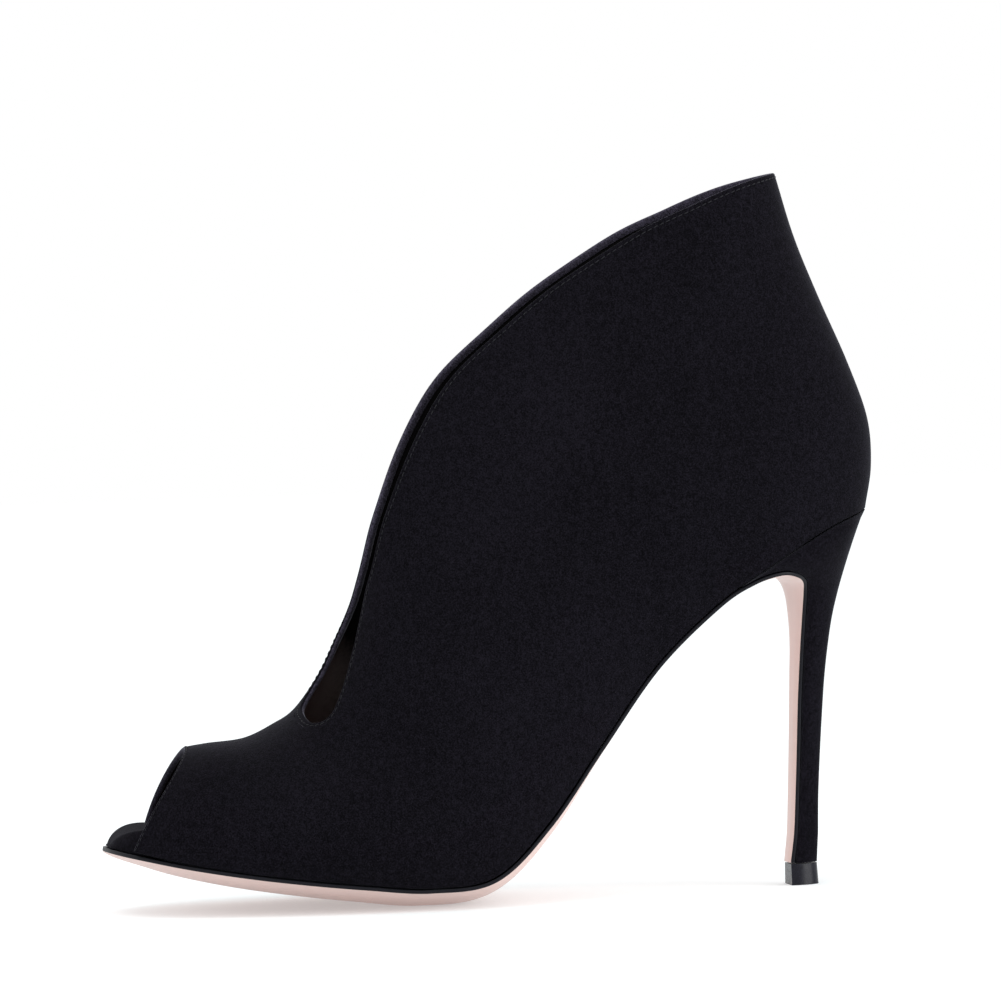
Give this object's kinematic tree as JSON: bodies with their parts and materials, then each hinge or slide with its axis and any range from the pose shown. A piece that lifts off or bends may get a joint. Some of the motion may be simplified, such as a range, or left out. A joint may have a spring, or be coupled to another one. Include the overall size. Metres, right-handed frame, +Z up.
{
  "type": "peep toe ankle boot",
  "caption": "Left peep toe ankle boot: a V-cut suede upper open at the collar and toe, on a thin leather sole and a slim high heel with a D-shaped tip.",
  "frame": {"origin": "centre of the heel tip's underside, on the floor", "axes": "+Z up, +Y toward the back of the heel with the toe along -Y, +X toward the outer side of this left foot"},
  "size_m": [0.0788, 0.2207, 0.2013],
  "materials": {
    "upper": "black suede with a short nap",
    "heel": "black suede cover",
    "platform": "black suede cover",
    "outsole": "smooth nude leather with a dark painted edge",
    "insole": "reddish brown lining leather",
    "heel_tip": "glossy black"
  },
  "bodies": {
    "root": {"upper": "upper", "outsole": "outsole", "platform": "platform", "insole": "insole", "heel": "heel", "heel_tip": "heel_tip"}
  },
  "joints": []
}
